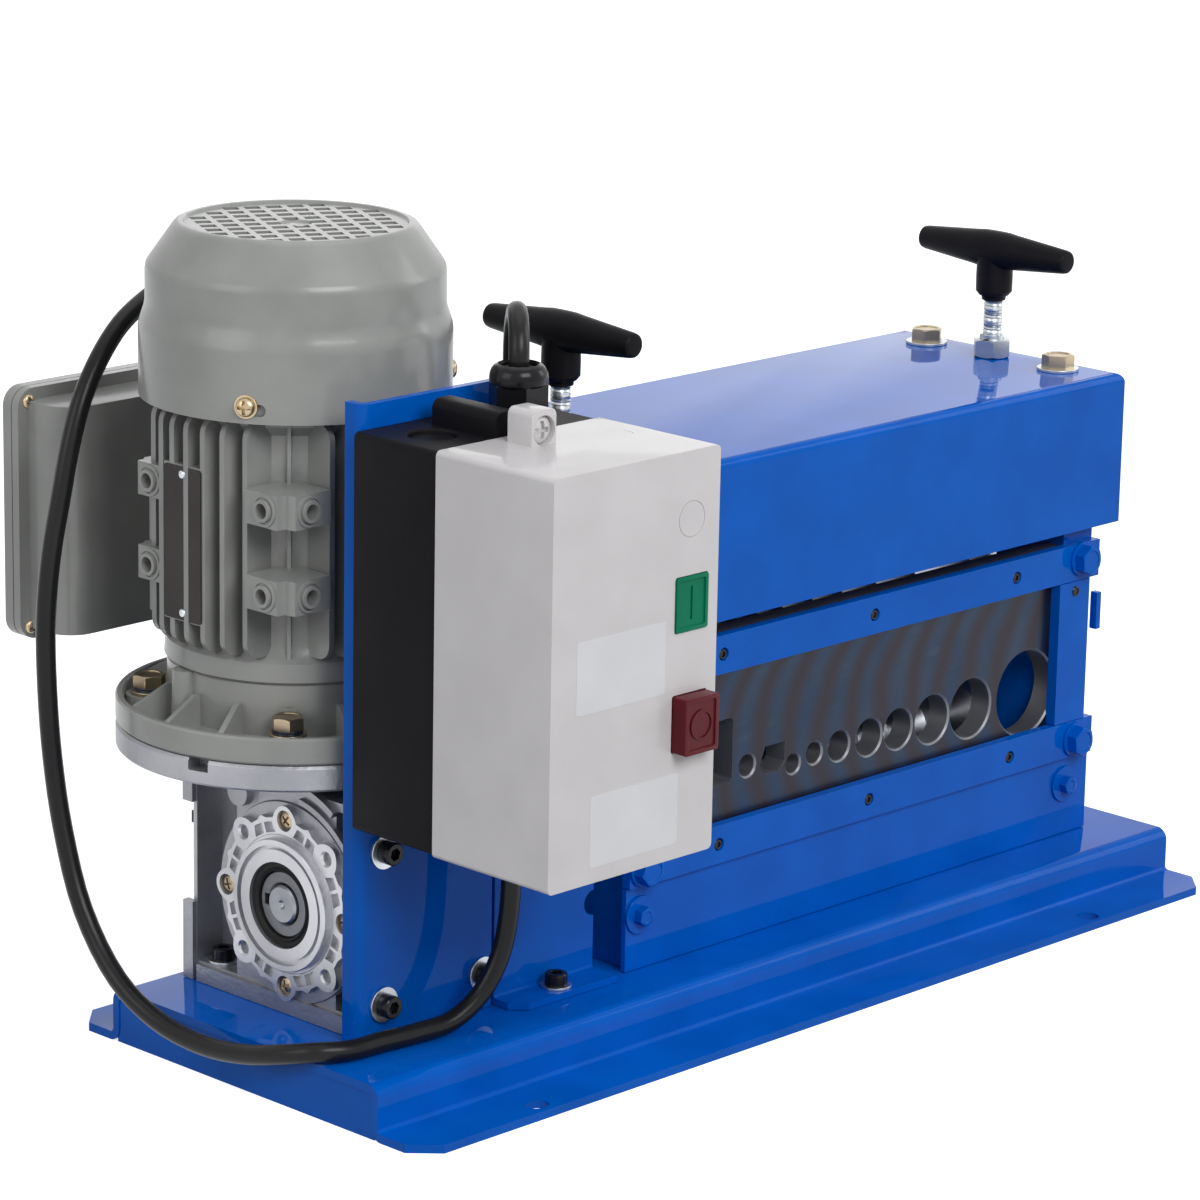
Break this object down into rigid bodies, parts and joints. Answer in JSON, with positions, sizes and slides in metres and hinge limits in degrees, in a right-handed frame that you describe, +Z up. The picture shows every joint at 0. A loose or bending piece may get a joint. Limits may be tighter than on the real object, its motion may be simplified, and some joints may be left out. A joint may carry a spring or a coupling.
{
  "type": "wire stripping machine",
  "caption": "Bench machine that feeds cable through a row of channels under round blades to strip it, driven by an upright worm-geared motor with a push-button starter.",
  "frame": {"origin": "centre of the machine's footprint on the floor, without its free cords", "axes": "+X along the machine from the motor towards the head, +Y from the operator's side to the back, +Z up"},
  "size_m": [0.5633, 0.4541, 0.3723],
  "materials": {
    "blue_paint": "glossy blue paint",
    "grey_paint": "satin grey paint",
    "cast_aluminium": "cast, silver sprayed",
    "machined_steel": "milled and turned",
    "blade_steel": "ground",
    "zinc_plate": "bright zinc",
    "bronze": "cut bronze",
    "winding": "varnished",
    "black_plastic": "moulded satin",
    "light_plastic": "moulded semi-gloss",
    "green_plastic": "moulded",
    "red_plastic": "moulded",
    "cord_jacket": "satin sheath"
  },
  "bodies": {
    "machine": {"base_pan": "blue_paint", "starter_bracket": "blue_paint", "shaft_guard": "blue_paint", "side_plate_left": "blue_paint", "side_plate_right": "blue_paint", "top_rail": "blue_paint", "bottom_rail": "blue_paint", "front_panel": "blue_paint", "rear_panel": "blue_paint", "top_cover": "blue_paint", "gearbox_housing": "cast_aluminium", "output_cover": "cast_aluminium", "input_flange": "cast_aluminium", "motor_end_shield": "grey_paint", "motor_frame": "grey_paint", "motor_rear_shield": "grey_paint", "fan_cover": "grey_paint", "terminal_box": "grey_paint", "terminal_box_lid": "grey_paint", "stator": "winding", "motor_lead_gland": "black_plastic", "mains_gland": "black_plastic", "starter_lead_gland": "black_plastic", "starter_base": "black_plastic", "contactor": "black_plastic", "starter_cover": "light_plastic", "feed_bearing_left": "machined_steel", "feed_bearing_right": "machined_steel", "guide_plate": "machined_steel", "lock_nut_left": "zinc_plate", "lock_nut_right": "zinc_plate", "motor_lead": "cord_jacket", "mains_lead": "cord_jacket", "mains_coil": "cord_jacket", "mains_plug": "cord_jacket"},
    "rotor": {"motor_rotor": "machined_steel", "worm": "machined_steel", "cooling_fan": "black_plastic"},
    "feed_drive": {"feed_shaft": "machined_steel", "feed_roller": "machined_steel", "worm_wheel": "bronze"},
    "blade_carriage": {"blade_block_left": "machined_steel", "blade_block_right": "machined_steel"},
    "blade_spindle": {"blade_shaft": "machined_steel", "blade_1": "blade_steel", "blade_2": "blade_steel", "blade_3": "blade_steel", "blade_4": "blade_steel", "blade_5": "blade_steel", "blade_6": "blade_steel", "blade_7": "blade_steel", "blade_8": "blade_steel", "blade_9": "blade_steel", "blade_10": "blade_steel"},
    "handle_left": {"t_handle_left": "black_plastic", "press_screw_left": "zinc_plate"},
    "handle_right": {"t_handle_right": "black_plastic", "press_screw_right": "zinc_plate"},
    "start": {"start_button": "green_plastic"},
    "stop": {"stop_button": "red_plastic"}
  },
  "joints": [
    {"name": "motor_spin", "type": "hinge", "parent": "machine", "child": "rotor", "pos_m": [-0.196, 0.04065, 0.148], "axis": [0, 0, 1], "continuous": true},
    {"name": "feed_spin", "type": "hinge", "parent": "machine", "child": "feed_drive", "pos_m": [-0.196, 0.00365, 0.077], "axis": [1, 0, 0], "continuous": true},
    {"name": "blade_height", "type": "slide", "parent": "machine", "child": "blade_carriage", "axis": [0, 0, 1], "range_m": [-0.008, 0.014]},
    {"name": "blade_spin", "type": "hinge", "parent": "blade_carriage", "child": "blade_spindle", "pos_m": [0.033, 0.00365, 0.1423], "axis": [1, 0, 0], "continuous": true},
    {"name": "handle_left_turn", "type": "hinge", "parent": "blade_carriage", "child": "handle_left", "pos_m": [-0.068, 0.00365, 0.29], "axis": [0, 0, 1], "range_deg": [-1921, 3361]},
    {"name": "handle_right_turn", "type": "hinge", "parent": "blade_carriage", "child": "handle_right", "pos_m": [0.237, 0.00365, 0.29], "axis": [0, 0, 1], "range_deg": [-1921, 3361]},
    {"name": "start_press", "type": "slide", "parent": "machine", "child": "start", "axis": [0, 1, 0], "range_m": [0, 0.003], "stiffness_N_per_m": 400, "springref_m": -0.002},
    {"name": "stop_press", "type": "slide", "parent": "machine", "child": "stop", "axis": [0, 1, 0], "range_m": [0, 0.004], "stiffness_N_per_m": 400, "springref_m": -0.002}
  ],
  "couplings": [
    {"joint": "feed_spin", "follows": "motor_spin", "ratio": -0.05},
    {"joint": "handle_left_turn", "follows": "blade_height", "rad_per_m": 4188.8},
    {"joint": "handle_right_turn", "follows": "blade_height", "rad_per_m": 4188.8}
  ]
}
